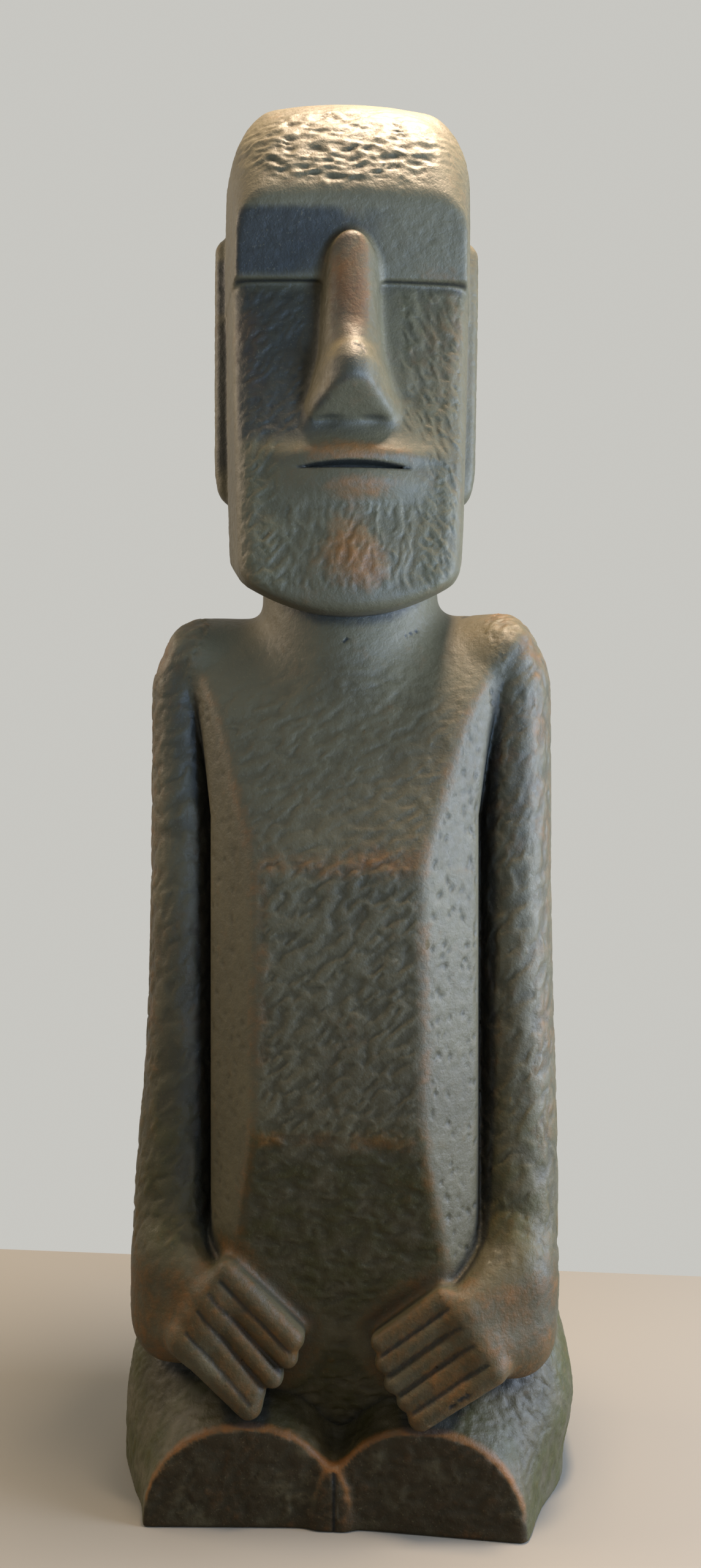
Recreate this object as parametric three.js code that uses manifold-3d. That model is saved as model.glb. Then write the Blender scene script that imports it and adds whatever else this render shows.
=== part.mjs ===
// A kneeling figure with a long carved head, cast in one piece: head, body, arms, hands and thighs.
// The figure faces -Y, stands on Z = 0 and is centred on the Z axis.
import * as THREE from "three";
import { mergeVertices } from "three/addons/utils/BufferGeometryUtils.js";
import Module from "manifold-3d";

const wasm = await Module();
wasm.setup();

// All lengths are in millimetres.
const CROWN_TOP = 1000;

// Torso: a faceted front of chest, belly and lap planes between two slanted flanks
const BELLY_FRONT = 96;
const RIDGE_HALF = 58;
const FLANK_ANGLE = 46;
const RIDGE_BEVEL = 1.2;
const CREASE_ROUNDING = 3;
const EDGE_ROUNDING = 2;
const CHEST_CREASE = 450;
const LAP_CREASE = 265;
const LAP_SLOPE = 0.16;
const TORSO_HALF = 118;
const TORSO_TURN = 30;
const BACK_BOW = 900;
const BACK_ROUNDING = 40;
const GROOVE_HALF = 95;
const GROOVE_ROUNDING = 6;
const SHOULDER_TOP = 637;
const SHOULDER_FALL = 0.0012;
const SHOULDER_ROUNDING = 36;
const SHOULDER_BACK = 40;

// Arms and backs of the hands
const ARM_SQUARENESS = 2.25;
const ARM_TOP = 629;
const ARM_TOP_MIDDLE = 85;
const ARM_TOP_HALF = 60;
const ARM_TOP_FALL = 12;
const ARM_TOP_ROUNDING = 46;
const ARM_TILT = 0.05;
const ARM_TILT_START = 80;
const ARMPIT_BLEND = 4;
const SHOULDER_BLEND = 32;
const SHOULDER_START = 560;
const SHOULDER_END = 620;
const FOREARM_SHIFT = 3;
const WRIST = 170;
const ELBOW = 330;
const HAND_BOTTOM = 92;
const HAND_TOP = 204;
const HAND_ROUNDING = 40;
const WRIST_BLEND = 30;
const PALM_BLEND = 16;

// Neck
const NECK_DEPTH = 61;
const NECK_SETBACK = 4;
const NECK_BOTTOM = 545;
const NECK_CLEAR = 656;
const NECK_TOP = 700;
const NECK_ROUNDING = 30;
const NECK_BLEND = 16;

// Thighs, whose flat front faces are the knees
const KNEE_FRONT = 92;
const THIGH_ORIGIN = 100;
const SEAT_BACK = 106;
const SEAT_ROUNDING = 40;
const THIGH_AXIS = 24;
const KNEE_ROUNDING = 4;
const TUCK_LOW = 10;
const TUCK_HIGH = 65;
const TUCK_START = 5;
const TUCK_END = 45;
const LEFT_THIGH = { side: 1, start: 57, splay: 0.037, tuckBelow: 10, tuckAbove: 0 };
const RIGHT_THIGH = { side: -1, start: 65, splay: 0.085, tuckBelow: -2.5, tuckAbove: -2.5 };

// Head
const HEAD_TURN = 8;
const HEAD_OFFSET = 2;
const HEAD_LEAN = 0.007;
const LEAN_PIVOT = 994;
const FACE_FRONT = 102;
const FACE_BOW = 1500;
const TEMPLE_START = 25;
const TEMPLE_TAPER = 0.15;
const SKULL_START = 10;
const SKULL_TAPER = 0.2;
const SKULL_BOW = 700;
const SKULL_ROUNDING = 50;
const FOREHEAD_FOOT = 900;
const FOREHEAD_SLOPE = 0.24;
const FOREHEAD_BEND = 930;
const FOREHEAD_BOW = 250;
const BROW_EDGE = 894;
const BROW_SLOPE = 0.34;
const BROW_LEDGE = 845;
const BROW_CORNER = 12;
const TEMPLE_CORNER = 34;
const CORNER_LOW = 865;
const CORNER_HIGH = 935;
const CHEEK_CORNER = 13;
const CROWN_HALF = 90;
const CROWN_FALL = 15;
const CROWN_FALL_BACK = 18;
const CROWN_MIDDLE = 5;
const CROWN_ROUNDING = 60;
const JAW_BOTTOM = 618;
const JAW_HALF = 80;
const JAW_RISE = 27;
const JAW_TILT = 0.025;
const JAW_BACK = 65;
const JAW_ROUNDING = 9;
const JOWL = 700;

// Mounds around the mouth and the tip of the nose
const MOUTH_MOUND = { centre: [0, -74, 716], radii: [54, 27, 42] };
const UPPER_LIP = { centre: [0, -95, 721.5], radii: [40, 12, 9] };
const LOWER_LIP = { centre: [0, -94, 705], radii: [34, 11, 10] };
const CHIN = { centre: [0, -74, 652], radii: [38, 25, 38] };
const NOSE_TIP = { centre: [0, -107, 771], radii: [16, 19, 19] };
const MOUND_BLEND = 12;
const LIP_BLEND = 8;

// Nose, mouth and ears
const NOSE_OFFSET = 1.5;
const NOSE_ROOT = 873;
const NOSE_ROOT_BOW = 26;
const NOSE_ROUNDING = 8;
const NOSE_BASE = 747;
const NOSE_CLIMB = 0.62;
const NOSE_SET = 68;
const NOSE_BED = 60;
const NOSTRIL = 10;
const NOSTRIL_PLACE = [15, -96, 742];
const MOUTH_HALF = 38;
const MOUTH_LEVEL = 712.2;
const MOUTH_SAG = 1.2;
const MOUTH_OPENING = 4.6;
const MOUTH_FLOOR = 93;
const EAR_LEVEL = 810;
const EAR_HALF_LENGTH = 100;
const EAR_MIDDLE = 84;
const EAR_SETBACK = 8;
const EAR_ROOT = 70;
const EAR_EDGE_ROUNDING = 10;
const EAR_END_ROUNDING = 16;

// Profiles, as pairs of height and size
const CHEST_SETBACK = [[440, -1.3], [500, 14.9], [545, 27.5], [572, 39], [600, 56], [640, 96]];
const BACK_DEPTH = [[0, 105], [150, 100], [300, 84], [450, 92], [560, 96], [640, 80]];
const GROOVE_SPREAD = [[480, 0], [540, 9], [590, 23]];
const NECK_HALF = [[520, 66], [600, 66], [640, 65], [700, 64]];
const ARM_OUTER = [
  [90, 150], [150, 153], [200, 154.5], [300, 151], [360, 149], [450, 148], [560, 148], [640, 143],
];
const ARM_INNER = [[90, 84], [170, 92], [260, 93], [450, 93], [520, 95], [600, 98]];
const ARM_FORWARD = [[90, 44], [165, 24], [330, 8], [600, -2]];
const ARM_DEPTH = [[90, 36], [165, 42], [330, 47], [560, 50]];
const HEAD_HALF = [[600, 80], [650, 84], [700, 86], [780, 87.5], [900, 88.5], [1000, 86]];
const CHEEK_FRONT = [[600, 93], [650, 95], [720, 92], [760, 87], [842, 79], [870, 77]];
const HEAD_BACK = [[600, 40], [660, 62], [760, 74], [900, 78], [1000, 60]];
const NOSE_RIDGE = [
  [740, 110], [755, 119], [764, 123], [776, 123], [785, 120], [797, 113], [812, 107.5], [866, 105],
];
const NOSE_HALF = [[740, 32], [752, 35.5], [766, 32], [788, 25.5], [812, 21.5], [840, 20.5], [878, 20]];
const NOSE_SQUARENESS = [[740, 2.2], [755, 2], [770, 1.75], [790, 1.85], [812, 2.5], [880, 2.6]];
const EAR_OUTER = [[711, 94], [740, 98], [910, 98]];
const EAR_HALF_DEPTH = [[711, 11], [760, 17], [880, 24], [910, 20]];

// Thigh profiles, as pairs of distance behind the thigh's origin and size
const THIGH_CENTRE = [[40, 71], [90, 77], [160, 74], [220, 60]];
const THIGH_HALF = [[0, 67], [20, 70], [40, 76], [100, 90], [160, 90], [220, 70]];
const THIGH_TOP = [[0, 66], [30, 80], [80, 128], [140, 150], [220, 90]];
const THIGH_SQUARENESS = [[0, 2.2], [30, 2.4], [90, 3.1], [220, 3]];

// Fingers, lowest first: knuckle and tip as [across, up], then radius. Across is +X on the figure's left.
const RIGHT_HAND = [
  { knuckle: [-106, 122], tip: [-60, 82], radius: 9.8 },
  { knuckle: [-98, 139], tip: [-56, 91], radius: 7.6 },
  { knuckle: [-91, 151], tip: [-44, 101], radius: 7.6 },
  { knuckle: [-83, 161], tip: [-34, 114], radius: 7.4 },
  { knuckle: [-76, 168], tip: [-31, 126.5], radius: 9 },
];
const LEFT_HAND = [
  { knuckle: [104, 112], tip: [56, 80], radius: 9.4 },
  { knuckle: [95, 125], tip: [47, 90.5], radius: 7.8 },
  { knuckle: [86, 136], tip: [38, 101], radius: 7.2 },
  { knuckle: [78, 147], tip: [32, 114], radius: 7.4 },
  { knuckle: [70, 157], tip: [28.5, 126.5], radius: 6.8 },
];
const FINGER_FRONT = 93;
const FINGER_LEAN = 0.1;
const FINGER_LEVEL = 100;

// Palms: two capsules per hand, as ends [across, back, up] and radii
const PALMS = [
  { from: [116, -56, 158], to: [86, -81, 147], radii: [23, 17] },
  { from: [116, -60, 126], to: [98, -82, 124], radii: [20, 16] },
];

// Smooth blends of form values: negative inside, positive outside, near the distance in between
const mix = (a, b, t) => a + (b - a) * t;

function ramp(low, high, t) {
  const s = THREE.MathUtils.clamp((t - low) / (high - low), 0, 1);
  return s * s * (3 - 2 * s);
}

function join(a, b, rounding) {
  const h = Math.max(rounding - Math.abs(a - b), 0) / rounding;
  return Math.min(a, b) - (h * h * rounding) / 4;
}

const meet = (a, b, rounding) => -join(-a, -b, rounding);

const superRadius = (u, v, squareness) =>
  (Math.abs(u) ** squareness + Math.abs(v) ** squareness) ** (1 / squareness);

// Smooth curve through the pairs of a profile, without overshoot
function profile(pairs, t) {
  const last = pairs.length - 1;
  const slope = (i) => (pairs[i + 1][1] - pairs[i][1]) / (pairs[i + 1][0] - pairs[i][0]);
  const tangent = (i) => {
    if (i === 0) return slope(0);
    if (i === last) return slope(last - 1);
    const before = slope(i - 1);
    const after = slope(i);
    return before * after <= 0 ? 0 : (2 * before * after) / (before + after);
  };
  const at = THREE.MathUtils.clamp(t, pairs[0][0], pairs[last][0]);
  let i = 0;
  while (i < last - 1 && at >= pairs[i + 1][0]) i += 1;
  const span = pairs[i + 1][0] - pairs[i][0];
  const s = (at - pairs[i][0]) / span;
  return (
    pairs[i][1] * (1 + 2 * s) * (1 - s) ** 2 +
    tangent(i) * span * s * (1 - s) ** 2 +
    pairs[i + 1][1] * s * s * (3 - 2 * s) +
    tangent(i + 1) * span * s * s * (s - 1)
  );
}

// Value of a capsule between two points, with a radius at each
function capsuleForm(x, y, z, from, to, radii) {
  const axis = [to[0] - from[0], to[1] - from[1], to[2] - from[2]];
  const along = (x - from[0]) * axis[0] + (y - from[1]) * axis[1] + (z - from[2]) * axis[2];
  const t = THREE.MathUtils.clamp(along / (axis[0] ** 2 + axis[1] ** 2 + axis[2] ** 2), 0, 1);
  const gap = Math.hypot(x - from[0] - t * axis[0], y - from[1] - t * axis[1], z - from[2] - t * axis[2]);
  return gap - mix(radii[0], radii[1], t);
}

// Value of an ellipsoid
function ballForm(x, y, z, { centre, radii }) {
  const r = Math.hypot((x - centre[0]) / radii[0], (y - centre[1]) / radii[1], (z - centre[2]) / radii[2]);
  return (r - 1) * Math.min(...radii);
}

const flank = THREE.MathUtils.degToRad(FLANK_ANGLE);

// Half-width of the chest, belly or lap plane at a height
function ridgeHalf(z) {
  const setback = Math.max(profile(CHEST_SETBACK, z), LAP_SLOPE * (LAP_CREASE - z), 0);
  return RIDGE_HALF + setback * Math.tan(flank);
}

const grooveHalf = (z) => GROOVE_HALF + profile(GROOVE_SPREAD, z);

function torsoForm(x, y, z) {
  const across = Math.abs(x);
  const ahead = -y - BELLY_FRONT;
  const chest = (ahead + profile(CHEST_SETBACK, z)) / 1.05;
  const lap = (ahead + LAP_SLOPE * (LAP_CREASE - z)) / Math.hypot(1, LAP_SLOPE);
  const front = meet(meet(chest, ahead, CREASE_ROUNDING), lap, CREASE_ROUNDING);
  const side = (across - RIDGE_HALF) * Math.cos(flank) + ahead * Math.sin(flank);
  const bevel = (front + side) / (2 * Math.cos(flank / 2)) + RIDGE_BEVEL;
  const wall = across - mix(grooveHalf(z), TORSO_HALF, ramp(-TORSO_TURN, TORSO_TURN, y));
  const back = y - profile(BACK_DEPTH, z) + across ** 2 / BACK_BOW;
  const top = z - SHOULDER_TOP + SHOULDER_FALL * across ** 2 + Math.max(y - SHOULDER_BACK, 0) / 4;
  let form = meet(meet(front, bevel, EDGE_ROUNDING), side, EDGE_ROUNDING);
  form = meet(form, back, BACK_ROUNDING);
  form = meet(form, wall, GROOVE_ROUNDING);
  return meet(meet(form, top, SHOULDER_ROUNDING), -z, EDGE_ROUNDING);
}

function armForm(x, y, z) {
  const across = Math.abs(x + FOREARM_SHIFT * (1 - ramp(WRIST, ELBOW, z)));
  const outer = profile(ARM_OUTER, z);
  const inner = profile(ARM_INNER, z);
  const half = (outer - inner) / 2;
  const depth = profile(ARM_DEPTH, z);
  const u = (across - (outer + inner) / 2) / half;
  const v = (y + profile(ARM_FORWARD, z)) / depth;
  const fall = ARM_TOP_FALL * ((across - ARM_TOP_MIDDLE) / ARM_TOP_HALF) ** 2;
  const tilt = ARM_TILT * Math.max(-x - ARM_TILT_START, 0);
  let form = (superRadius(u, v, ARM_SQUARENESS) - 1) * Math.min(half, depth);
  form = meet(form, z - ARM_TOP + fall + tilt, ARM_TOP_ROUNDING);
  form = meet(form, HAND_BOTTOM - z, HAND_ROUNDING);
  const palms = PALMS.map(({ from, to, radii }) => capsuleForm(Math.abs(x), y, z, from, to, radii));
  return join(form, join(...palms, PALM_BLEND), WRIST_BLEND);
}

function neckForm(x, y, z) {
  const radius = Math.hypot(x / profile(NECK_HALF, z), (y + NECK_SETBACK) / NECK_DEPTH);
  return meet((radius - 1) * NECK_DEPTH, NECK_BOTTOM - z, NECK_ROUNDING);
}

function bodyForm(x, y, z) {
  const blend = mix(ARMPIT_BLEND, SHOULDER_BLEND, ramp(SHOULDER_START, SHOULDER_END, z));
  const trunk = join(torsoForm(x, y, z), armForm(x, y, z), blend);
  return join(trunk, neckForm(x, y, z), NECK_BLEND);
}

const headShift = (z) => -HEAD_LEAN * (LEAN_PIVOT - z);

function headForm(x, y, z) {
  const across = Math.abs(x - headShift(z));
  const bow = across ** 2 / FACE_BOW;
  const temple = Math.max(-y - TEMPLE_START, 0) * TEMPLE_TAPER;
  const side = across - profile(HEAD_HALF, z) + temple + Math.max(y - SKULL_START, 0) * SKULL_TAPER;
  const recline = FOREHEAD_SLOPE * (z - FOREHEAD_FOOT) + Math.max(z - FOREHEAD_BEND, 0) ** 2 / FOREHEAD_BOW;
  const forehead = (-y - FACE_FRONT + recline + bow) / 1.03;
  const brow = (-y - FACE_FRONT + BROW_SLOPE * (BROW_EDGE - z) + bow / 3) / 1.05;
  const corner = mix(BROW_CORNER, TEMPLE_CORNER, ramp(CORNER_LOW, CORNER_HIGH, z));
  const visor = meet(meet(meet(side, forehead, corner), brow, 4), BROW_LEDGE - z, EDGE_ROUNDING);
  const cheeks = meet(meet(side, -y - profile(CHEEK_FRONT, z) + bow, CHEEK_CORNER), forehead, 4);
  const back = y - profile(HEAD_BACK, z) + across ** 2 / SKULL_BOW;
  const ahead = (y - CROWN_MIDDLE) / CROWN_HALF;
  const fall = CROWN_FALL * (across / CROWN_HALF) ** 2 + CROWN_FALL_BACK * ahead ** 2;
  const crown = z - CROWN_TOP + fall;
  return meet(meet(join(visor, cheeks, 3), back, SKULL_ROUNDING), crown, CROWN_ROUNDING);
}

// The mound around the mouth with both lips, and the chin below it
function muzzleForm(x, y, z) {
  const upper = join(ballForm(x, y, z, MOUTH_MOUND), ballForm(x, y, z, UPPER_LIP), LIP_BLEND);
  return join(join(upper, ballForm(x, y, z, LOWER_LIP), LIP_BLEND), ballForm(x, y, z, CHIN), MOUND_BLEND);
}

function faceForm(x, y, z) {
  const rise = JAW_RISE * (x / JAW_HALF) ** 2 + JAW_TILT * x + Math.max(y + JAW_BACK, 0) / 4;
  const jaw = JAW_BOTTOM + rise - z;
  return meet(join(headForm(x, y, z), muzzleForm(x, y, z), MOUND_BLEND), jaw, JAW_ROUNDING);
}

function noseForm(x, y, z) {
  const across = x + NOSE_OFFSET;
  const half = profile(NOSE_HALF, z);
  const length = profile(NOSE_RIDGE, z) - NOSE_SET;
  const ahead = Math.min(y + NOSE_SET, 0) / length;
  const radius = superRadius(across / half, ahead, profile(NOSE_SQUARENESS, z));
  let form = (radius - 1) * Math.min(half, length) * 0.9;
  form = join(form, ballForm(across, y, z, NOSE_TIP), NOSE_ROUNDING);
  form = meet(form, z - NOSE_ROOT + across ** 2 / NOSE_ROOT_BOW, NOSE_ROUNDING);
  return meet(form, y + NOSE_BED, EDGE_ROUNDING);
}

function earForm(x, y, z) {
  const outer = Math.abs(x - headShift(z)) - profile(EAR_OUTER, z);
  const edge = Math.abs(y - EAR_SETBACK) - profile(EAR_HALF_DEPTH, z);
  const end = Math.abs(z - EAR_LEVEL) - EAR_HALF_LENGTH;
  return meet(meet(outer, edge, EAR_EDGE_ROUNDING), end, EAR_END_ROUNDING);
}

// Middle line of a thigh, measured outward from the seam between the two
function thighCentre({ start, tuckBelow, tuckAbove }, behind, z) {
  const tuck = mix(tuckBelow, tuckAbove, ramp(TUCK_LOW, TUCK_HIGH, z));
  return profile([[0, start], ...THIGH_CENTRE], behind) - tuck * ramp(TUCK_START, TUCK_END, behind);
}

// A thigh, with its own X measured outward from the seam between the two
function thighForm(thigh, x, y, z) {
  const behind = y + THIGH_ORIGIN;
  const half = profile(THIGH_HALF, behind);
  const top = profile(THIGH_TOP, behind);
  const centre = thighCentre(thigh, behind, z);
  const radius = superRadius((x - centre) / half, z / top, profile(THIGH_SQUARENESS, behind));
  const front = -y - KNEE_FRONT - thigh.splay * x;
  const seat = y - SEAT_BACK + (x * x) / BACK_BOW;
  const limb = meet((radius - 1) * Math.min(half, top) * 0.9, front, KNEE_ROUNDING);
  return meet(meet(limb, seat, SEAT_ROUNDING), -z, EDGE_ROUNDING);
}

// Walk from a point along a unit direction until the form is met
function reach(form, point, direction) {
  const p = point.clone();
  for (let i = 0; i < 400; i += 1) {
    const gap = form(p.x, p.y, p.z);
    if (gap < 0.01 || p.distanceTo(point) > 420) break;
    p.addScaledVector(direction, Math.max(gap * 0.7, 0.01));
  }
  return p;
}

// Walk out from a point inside the form to its surface
function leave(form, point, direction) {
  const p = point.clone();
  for (let i = 0; i < 400; i += 1) {
    const depth = -form(p.x, p.y, p.z);
    if (depth < 0.01) break;
    p.addScaledVector(direction, Math.max(depth * 0.7, 0.01));
  }
  return p;
}

// Values from the first landmark to the last, with every gap between landmarks split to the given step
function spread(landmarks, step) {
  const values = [landmarks[0]];
  for (let i = 1; i < landmarks.length; i += 1) {
    const parts = Math.max(Math.round((landmarks[i] - landmarks[i - 1]) / step), 1);
    for (let k = 1; k <= parts; k += 1) values.push(mix(landmarks[i - 1], landmarks[i], k / parts));
  }
  return values;
}

// A closed cylinder whose rows and columns are moved to the points that `place` gives
function cage(rows, columns, place, bottomTip, topTip) {
  const geometry = new THREE.CylinderGeometry(1, 1, 1, columns, rows - 1);
  const position = geometry.getAttribute("position");
  for (let i = 0; i < position.count; i += 1) {
    const x = position.getX(i);
    const z = position.getZ(i);
    const row = Math.round((position.getY(i) + 0.5) * (rows - 1));
    const turn = Math.atan2(x, z) / (2 * Math.PI);
    const column = (Math.round(turn * columns) + columns) % columns;
    const tip = row === 0 ? bottomTip : topTip;
    const p = Math.hypot(x, z) < 0.5 ? tip : place(row, column);
    position.setXYZ(i, p.x, p.y, p.z);
  }
  return geometry;
}

// Half-width of a form's section at a height, on the narrower side
function sectionHalf(form, z, centre) {
  const halves = [1, -1].map((sign) => {
    let half = 0;
    for (let y = -120; y <= 120; y += 4) {
      const hit = reach(form, new THREE.Vector3(centre + 200 * sign, y, z), new THREE.Vector3(-sign, 0, 0));
      if (form(hit.x, hit.y, hit.z) < 0.1) half = Math.max(half, (hit.x - centre) * sign);
    }
    return half;
  });
  return Math.min(...halves);
}

// A form met row by row: from the front and the back at set half-widths, and from the sides between
function wrap(form, heights, { front, back, sideSteps, shift, bottomTip, topTip }) {
  const rows = heights.map((z) => {
    const centre = shift(z);
    const edge = sectionHalf(form, z, centre) * 0.98;
    const fit = (halves) => halves.map((half) => half * Math.min(1, edge / halves[halves.length - 1]));
    const fronts = fit(front(z, edge));
    const backs = fit(back(z, edge));
    const from = (half, sign) =>
      reach(form, new THREE.Vector3(centre + half, 200 * sign, z), new THREE.Vector3(0, -sign, 0));
    const flankLoop = (sign) => {
      const ahead = fronts.map((half) => from(sign * half, -1));
      const behind = backs.map((half) => from(sign * half, 1)).reverse();
      const sides = [];
      for (let k = 1; k <= sideSteps; k += 1) {
        const y = mix(ahead[ahead.length - 1].y, behind[0].y, k / (sideSteps + 1));
        const start = new THREE.Vector3(centre + 200 * sign, y, z);
        sides.push(reach(form, start, new THREE.Vector3(-sign, 0, 0)));
      }
      return [...ahead, ...sides, ...behind];
    };
    return [from(0, -1), ...flankLoop(1), from(0, 1), ...flankLoop(-1).reverse()];
  });
  return cage(rows.length, rows[0].length, (row, column) => rows[row][column], bottomTip, topTip);
}

// A form met along rays that turn round an axis point in each row
function spin(form, rows, columns, ray, bottomTip, topTip) {
  const place = (row, column) => ray(form, rows[row], column / columns);
  return cage(rows.length, columns, place, bottomTip, topTip);
}

function solid(geometry) {
  const bare = geometry.clone();
  bare.deleteAttribute("normal");
  bare.deleteAttribute("uv");
  const merged = mergeVertices(bare, 1e-3);
  return new wasm.Manifold(
    new wasm.Mesh({
      numProp: 3,
      vertProperties: new Float32Array(merged.getAttribute("position").array),
      triVerts: new Uint32Array(merged.getIndex().array),
    }),
  );
}

function toGeometry(manifold) {
  const { vertProperties, triVerts } = manifold.getMesh();
  const geometry = new THREE.BufferGeometry();
  geometry.setAttribute("position", new THREE.BufferAttribute(new Float32Array(vertProperties), 3));
  geometry.setIndex(new THREE.BufferAttribute(new Uint32Array(triVerts), 1));
  return geometry;
}

// Trunk with arms and neck. Its columns follow the ridges and the grooves beside the arms.
function buildBody() {
  const front = (z, edge) => {
    const ridge = Math.min(ridgeHalf(z), grooveHalf(z) - 4);
    const groove = grooveHalf(z);
    const outer = Math.max(edge, groove + 8);
    const arm = [0.06, 0.25, 0.5, 0.75, 0.92, 1].map((t) => mix(groove, outer, t));
    return [ridge / 3, ridge / 1.5, ridge - 3, ridge + 2, mix(ridge, groove, 0.6), groove - 0.8, ...arm];
  };
  const back = (z, edge) => {
    const outer = Math.max(edge, TORSO_HALF + 6);
    return [30, 62, 92, TORSO_HALF - 6, TORSO_HALF - 1, TORSO_HALF + 2, mix(TORSO_HALF, outer, 0.6), outer];
  };
  const hands = [0, 40, ...spread([HAND_BOTTOM - 3, HAND_TOP], 9)];
  const creases = [LAP_CREASE - 4, LAP_CREASE + 4, CHEST_CREASE - 4, CHEST_CREASE + 4];
  const trunk = spread([HAND_TOP, ...creases, NECK_BOTTOM], 42).slice(1);
  const shoulders = spread([NECK_BOTTOM, SHOULDER_START + 30, ARM_TOP - 4, SHOULDER_TOP, NECK_CLEAR], 9);
  const heights = [...hands, ...trunk, ...shoulders.slice(1), mix(NECK_CLEAR, NECK_TOP, 0.55), NECK_TOP];
  return wrap(bodyForm, heights, {
    front,
    back,
    sideSteps: 2,
    shift: () => 0,
    bottomTip: new THREE.Vector3(0, 0, 0),
    topTip: new THREE.Vector3(0, 0, NECK_TOP),
  });
}

function buildHead() {
  const low = spread([JAW_BOTTOM + 5, JOWL, NOSE_BASE - 5], 10.5);
  const mid = spread([NOSE_BASE - 5, BROW_LEDGE - 1.5, BROW_LEDGE + 1.5], 17).slice(1);
  const top = [CROWN_TOP - 40, CROWN_TOP - 16, CROWN_TOP - 2];
  const high = spread([BROW_LEDGE + 1.5, BROW_EDGE + 3, ...top], 12).slice(1);
  return wrap(faceForm, [...low, ...mid, ...high], {
    front: () => [13, 26, 39, 52, 62, 70, 76, 81, 87],
    back: () => [22, 44, 62, 76, 87],
    sideSteps: 3,
    shift: headShift,
    bottomTip: new THREE.Vector3(0, CHIN.centre[1] - 6, JAW_BOTTOM + 3),
    topTip: new THREE.Vector3(headShift(CROWN_TOP), CROWN_MIDDLE, CROWN_TOP),
  });
}

// The nose, cut off underneath by a plane that climbs towards the tip, with two nostril hollows
function buildNose() {
  const bends = NOSE_RIDGE.map(([z]) => z).filter((z) => z > NOSE_BASE && z < NOSE_ROOT - 10);
  const rows = spread([NOSE_BASE - 23, ...bends, NOSE_ROOT - 1.5], 7);
  const inside = (z) => new THREE.Vector3(-NOSE_OFFSET, 2 - NOSE_SET, z);
  const ray = (form, z, turn) => {
    const angle = turn * 2 * Math.PI;
    return leave(form, inside(z), new THREE.Vector3(Math.sin(angle), -Math.cos(angle), 0));
  };
  const nose = solid(spin(noseForm, rows, 20, ray, inside(rows[0]), inside(rows[rows.length - 1])));
  const under = new THREE.BoxGeometry(200, 200, 80).translate(0, 0, -40);
  under.rotateX(-Math.atan(NOSE_CLIMB)).translate(0, 2 - FACE_FRONT, NOSE_BASE);
  const [across, forward, up] = NOSTRIL_PLACE;
  const hollows = [1, -1].map((sign) => {
    const ball = new THREE.SphereGeometry(NOSTRIL, 12, 8).scale(1, 1, 0.5);
    return solid(ball.translate(sign * across - NOSE_OFFSET, forward, up));
  });
  return nose.subtract(solid(under)).subtract(hollows[0]).subtract(hollows[1]);
}

function buildEar(sign) {
  const top = EAR_LEVEL + EAR_HALF_LENGTH;
  const bottom = EAR_LEVEL - EAR_HALF_LENGTH;
  const rows = spread([bottom + 1, bottom + 10, top - 10, top - 1], 24);
  const axis = (z) => new THREE.Vector3(sign * EAR_MIDDLE + headShift(z), EAR_SETBACK, z);
  const form = (x, y, z) => Math.max(earForm(x, y, z), EAR_ROOT - Math.abs(x));
  const ray = (shape, z, turn) => {
    const angle = turn * 2 * Math.PI;
    return leave(shape, axis(z), new THREE.Vector3(Math.sin(angle), -Math.cos(angle), 0));
  };
  return spin(form, rows, 12, ray, axis(rows[0]), axis(rows[rows.length - 1]));
}

// A thigh on one side. Its rows run back from the knee, each parallel to the knee's splayed flat face.
function buildThigh(thigh) {
  const { side, start, splay } = thigh;
  const length = SEAT_BACK + KNEE_FRONT - splay * start;
  const rows = [0.3, 1.5, 4, ...spread([10, 40, 100, length - 20, length - 4], 18)];
  const toOrigin = THIGH_ORIGIN - KNEE_FRONT - splay * start;
  const axis = (behind) => {
    const x = thighCentre(thigh, behind + toOrigin, TUCK_HIGH);
    return new THREE.Vector3(side * x, behind - KNEE_FRONT - splay * x, THIGH_AXIS);
  };
  const ray = (form, behind, turn) => {
    const middle = thighCentre(thigh, behind + toOrigin, TUCK_HIGH);
    const half = profile(THIGH_HALF, behind + toOrigin) - 1;
    const outward = thighCentre(thigh, behind + toOrigin, 0) + half - middle;
    const outer = Math.atan2(THIGH_AXIS - 1, outward);
    const inner = Math.atan2(THIGH_AXIS - 1, half);
    const t = side > 0 ? 1 - turn : turn;
    const over = Math.PI + outer + inner;
    const under = 2 * Math.PI - over;
    const angle = t < 0.8 ? -outer + (over * t) / 0.8 : Math.PI + inner + under * (t - 0.8) * 5;
    const across = Math.cos(angle);
    const direction = new THREE.Vector3(side * across, -splay * across, Math.sin(angle));
    return leave(form, axis(behind), direction.normalize());
  };
  const form = (x, y, z) => thighForm(thigh, side * x, y, z);
  return spin(form, rows, 25, ray, axis(rows[0]), axis(rows[rows.length - 1]));
}

function buildFinger({ knuckle, tip, radius }) {
  const at = ([across, z]) => new THREE.Vector3(across, FINGER_LEAN * (z - FINGER_LEVEL) - FINGER_FRONT, z);
  const from = at(knuckle);
  const to = at(tip);
  const geometry = new THREE.CapsuleGeometry(radius, from.distanceTo(to), 2, 9, 1);
  const direction = to.clone().sub(from).normalize();
  const up = new THREE.Vector3(0, 1, 0);
  geometry.applyQuaternion(new THREE.Quaternion().setFromUnitVectors(up, direction));
  const middle = from.add(to).multiplyScalar(0.5);
  return geometry.translate(middle.x, middle.y, middle.z);
}

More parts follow.
